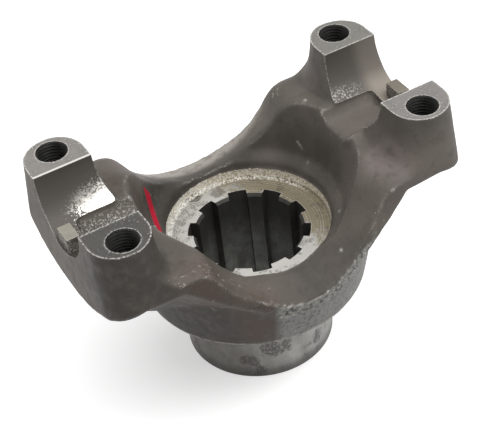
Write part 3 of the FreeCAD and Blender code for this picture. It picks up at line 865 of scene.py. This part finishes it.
below = rise(0.45, 0.2, upward) * rise(58, 52, z) * rise(38, 40, reach)
scuffs = ((-43, -36.5, 76.5), (-36, -35, 75), (-32.1, -32.7, 73.1), (-29, -34, 68), (-24.5, -34.8, 62.7),
          (-20.7, -40.6, 57.7), (-16.1, -41.9, 52.8), (26, 36, 66), (34, 33, 74), (-6, 39, 57))
nicks = ((37.8, 19, 77.7), (36.8, -37.8, 74.5), (26.7, -18.6, 56.6), (16.3, -35.7, 56.5))
layers = {
    "worn": rise(0.05, 0.17, bulge),
    # Painted shade in the hollows, where the surface curves inwards.
    "hollow_shade": rise(-0.02, -0.09, bulge),
    "torn": np.array([torn_band(Vector(place), Vector(normal)) for place, normal in zip(places, normals)]),
    "crest": rise(0.08, 0.16, bulge) * rise(-16, -12, x) * rise(-33, -36, y) * rise(44, 46, z)
    * rise(60, 56, z),
    "bare": below * rise(-15, -11, x) * rise(-22, -28, y),
    "rust": spot((-38, -36, 66), 17) + spot((-22, -42, 52), 13) + spot((-20, -40, 38), 12) * below
    + 0.6 * spot((-40, 20, 70), 14) + 0.5 * spot((-62, -20, 60), 22),
    # Dusty pink patches, partly real colour and partly painted light on the up-facing far rim and the far right
    # lobe's wall.
    "pale_and_lit": 0.3 * spot((47, 3, 75.5), 13, 0.4) + 0.5 * spot((42, -29, 77), 12, 0.5)
    + 0.7 * spot((-30, 33, 73), 16, 0.8) + rise(33, 38, y) * rise(0.2, 0.6, upward) * rise(30, 20, abs(x))
    + 0.4 * spot((46, -20, 70), 26, 0.9) + 0.8 * spot((44.5, 26, 81), 8, 0.7)
    + 0.5 * spot((22.5, 21.7, 55.3), 9, 0.8) + 0.5 * spot((42.5, -25, 77.5), 9, 0.5),
    # Painted shade on the near left sides turned from the light, on the inner far saddle and under the left
    # arm, with oil in some spots.
    "shade_and_oil": rise(-8, -34, x) * rise(-6, -26, y) * rise(0.75, 0.3, upward)
    + 0.7 * rise(0, 20, y) * rise(40, 32, reach) + below * rise(-8, -13, x) * rise(0, -10, y)
    + spot((-22, 25, 58), 15, 0.6) + 0.6 * spot((36, 0, 62), 17, 0.7)
    + 0.8 * spot((-36, 14, 70), 14, 0.7) + 0.6 * spot((6, -36, 57), 24, 0.8),
    # Painted light on the up-facing band along the far rim, in the rubbed tint.
    "lit_rim": rise(34, 39, y) * rise(0.1, 0.5, upward) * rise(36, 24, abs(x)) * rise(75, 66, z),
    "lip": rise(0.6, 0.3, abs(z - SHOULDER / MM)) * rise(32, 34, reach),
    "speckled": rise(-36, -40, x) * rise(10, 8, abs(y)) * rise(70, 73, z) * rise(0.5, 0.8, upward),
    "scuffed": sum(spot(centre, 4.0, 0.9) for centre in scuffs),
    "nicked": 0.8 * sum(spot(centre, 0.9, 0.8) for centre in nicks)
    + 0.7 * scratch((32, 16.2, 62.9), (31.64, 9.9, 57.5), 10, 0.7)
    + 0.35 * scratch((-39.1, -29.8, 59.2), (-31.6, -31.8, 52.6), 11, 0.7),
}
for name, values in layers.items():
    attribute = mesh.attributes.new(name, "FLOAT", "POINT")
    attribute.data.foreach_set("value", values.clip(0, 1).astype(np.float32))


# The finished yoke.
# It is one piece of steel with eight finishes, told apart by which tool left each face.
# Level milled faces stay flat; everything else is shaded smooth between its sharp edges.
finishes = [forged, milled, bored, faced, turned, broached, tapped, lugs]
FORGED, MILLED, BORED, FACED, TURNED, BROACHED, TAPPED, LUG = range(len(finishes))
FACING_UP = 0.99
THREAD_MARGIN = 0.2 * MM
SEAT_WALL_HEIGHT = 4 * MM
LUG_FACING_UP = 0.3             # its broken edges count as its top


def finish_of(place, normal):
    """Which tool left the face at a place, or none."""
    radius = math.hypot(place.x, place.y)
    facing_up = normal.z > FACING_UP
    in_ear = abs(place.x) > EAR_START
    in_lug = (LUG_INNER_X - CLOSE < abs(place.x) < LUG_INNER_X + LUG_THICKNESS + CLOSE
              and abs(place.y) < LUG_HALF_WIDTH + CLOSE and place.z < LUG_TOP + CLOSE)
    if facing_up and on_top(place):
        return MILLED
    if from_bolt_axis(place) < THREAD_MAJOR + THREAD_MARGIN and place.z > THREAD_BOTTOM:
        return TAPPED
    if in_ear and abs(from_cup_axis(place) - CUP_RADIUS) < 2 * CLOSE:
        return BORED
    if in_lug and from_cup_axis(place) < CUP_RADIUS:
        # The lug's sides take the dark forged finish as painted shade; only its top takes the milled lug
        # finish.
        return LUG if normal.z > LUG_FACING_UP else FORGED
    if facing_up and abs(place.z - NUT_SEAT) < CLOSE:
        return FACED
    if abs(radius - SEAT_RADIUS) < 2 * CLOSE and place.z < NUT_SEAT + SEAT_WALL_HEIGHT:
        return FACED
    if radius < BORE_REACH and -CLOSE < place.z < NUT_SEAT + CLOSE and normal.z > -FACING_UP:
        return BROACHED
    if place.z < SHOULDER + CLOSE and (radius < TUBE_RADIUS + ROOT_RADIUS or normal.z < -FACING_UP):
        return TURNED
    return FORGED


mesh.materials.clear()
for finish in finishes:
    mesh.materials.append(finish)
for polygon in mesh.polygons:
    polygon.material_index = finish_of(polygon.center, polygon.normal)
    polygon.use_smooth = polygon.material_index not in (MILLED, LUG)

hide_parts("end_yoke")
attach(yoke, "root")


# The photograph's view.
# The camera's direction, roll, distance and focal length were solved from the photograph, with
# the place in the picture where the middle of the nut seat shows.
PICTURE_WIDTH, PICTURE_HEIGHT = 480, 441
SEAT_COLUMN, SEAT_ROW = 249.2021, 229.3972
FOCAL_PIXELS = 1347.6241
VIEW_DISTANCE = 483.7145 * MM
VIEW_AZIMUTH = math.radians(-25.3734)
VIEW_ELEVATION = math.radians(41.5684)
VIEW_ROLL = math.radians(-7.2412)
SENSOR_WIDTH = 36

camera = bpy.data.objects.new("camera", bpy.data.cameras.new("camera"))
bpy.context.scene.collection.objects.link(camera)
camera.data.sensor_width = SENSOR_WIDTH
camera.data.lens = SENSOR_WIDTH * FOCAL_PIXELS / PICTURE_WIDTH
level = Vector((math.cos(VIEW_AZIMUTH), math.sin(VIEW_AZIMUTH), 0))
outward = Vector((math.sin(VIEW_AZIMUTH), -math.cos(VIEW_AZIMUTH), 0))
back = math.cos(VIEW_ELEVATION) * outward + math.sin(VIEW_ELEVATION) * Vector((0, 0, 1))
upright = back.cross(level)
right = math.cos(VIEW_ROLL) * level + math.sin(VIEW_ROLL) * upright
up = -math.sin(VIEW_ROLL) * level + math.cos(VIEW_ROLL) * upright
pixel = VIEW_DISTANCE / FOCAL_PIXELS
stand = Vector((0, 0, NUT_SEAT)) + VIEW_DISTANCE * back
stand += pixel * ((SEAT_ROW - PICTURE_HEIGHT / 2) * up - (SEAT_COLUMN - PICTURE_WIDTH / 2) * right)
camera.matrix_world = Matrix.Translation(stand) @ Matrix((right, up, back)).transposed().to_4x4()
bpy.context.scene.camera = camera


# The floor.
# A sheet of matt white paper under the yoke, which keeps its shadow. To the eye, to gloss and
# through glass it is lifted to white, less so near the hub, where the photograph's shadow lies.
PAPER_GREY = "#c6c6c6"
FLOOR_REACH = 3.0
FLOOR_THICKNESS = 10 * MM
SHADOW_MIDDLE = Vector((-25, 5, 0)) * MM
LIFT_FROM, LIFT_TO = 10 * MM, 60 * MM
LIFT_IN_SHADOW, LIFT_IN_LIGHT = 0.45, 0.78


def white_share(tree):
    """1 for what is seen, mirrored or looked through, 0 for what only lights the yoke."""
    paths = add(tree, "LightPath").node.outputs
    seen = add(tree, "Math", {0: paths["Is Camera Ray"], 1: paths["Is Glossy Ray"]}, operation="MAXIMUM")
    return add(tree, "Math", {0: seen, 1: paths["Is Transmission Ray"]}, operation="MAXIMUM")


floor = new_piece("floor", shape(add_block, (-FLOOR_REACH, -FLOOR_REACH, -FLOOR_THICKNESS),
                                 (FLOOR_REACH, FLOOR_REACH, 0)))
paper, tree = new_material("white paper")
place = add(tree, "TexCoord", out="Object")
# The glow is weaker near the hub, which paints a shadow onto the paper along with the cast one.
away = add(tree, "VectorMath", {0: place, 1: SHADOW_MIDDLE}, out="Value", operation="DISTANCE")
lift = add(tree, "MapRange", {0: away, 1: LIFT_FROM, 2: LIFT_TO, 3: LIFT_IN_SHADOW, 4: LIFT_IN_LIGHT})
lift = add(tree, "Math", {0: white_share(tree), 1: lift}, operation="MULTIPLY")
matt = add(tree, "BsdfDiffuse", {"Color": linear(PAPER_GREY)})
glow = add(tree, "Emission", {"Color": (1, 1, 1, 1), "Strength": lift})
add(tree, "OutputMaterial", {"Surface": add(tree, "AddShader", {0: matt, 1: glow})})
floor.data.materials.append(paper)


# The backdrop and the light.
# A white surround, as of a light tent: bright overhead, dim at the horizon, dimmer behind the
# camera, with a little from both sides, and one soft lamp high at the front right.
SKY_LOW = 0.15
SKY_HIGH = 0.95
SKY_SIDES = 0.4
SKY_BEHIND = 0.35
LAMP_PLACE = Vector((0.3, -0.3, 0.95))
LAMP_SIZE = 0.5
LAMP_POWER = 5.0

world = bpy.data.worlds.new("world")
world.use_nodes = True
tree = world.node_tree
tree.nodes.clear()
heading = add(tree, "SeparateXYZ", {0: add(tree, "TexCoord", out="Generated")}).node.outputs
overhead = add(tree, "MapRange", {0: heading[2], 1: 0.05, 2: 0.8, 3: SKY_LOW, 4: SKY_HIGH})
behind = add(tree, "MapRange", {0: heading[1], 1: -0.9, 2: 0.2, 3: SKY_BEHIND, 4: 1})
overhead = add(tree, "Math", {0: overhead, 1: behind}, operation="MULTIPLY")
sideways = add(tree, "Math", {0: heading[0], 1: heading[0]}, operation="MULTIPLY")
sky = add(tree, "Math", {0: sideways, 1: SKY_SIDES, 2: overhead}, operation="MULTIPLY_ADD")
strength = add(tree, "Mix", {0: white_share(tree), 2: sky, 3: 1.0})
add(tree, "OutputWorld", {"Surface": add(tree, "Background", {"Color": (1, 1, 1, 1), "Strength": strength})})
bpy.context.scene.world = world

lamp = bpy.data.objects.new("key", bpy.data.lights.new("key", "AREA"))
lamp.data.energy = LAMP_POWER
lamp.data.size = LAMP_SIZE
lamp.location = LAMP_PLACE
lamp.rotation_mode = "QUATERNION"
lamp.rotation_quaternion = LAMP_PLACE.to_track_quat("Z", "Y")
bpy.context.scene.collection.objects.link(lamp)
bpy.context.scene.view_settings.view_transform = "Standard"
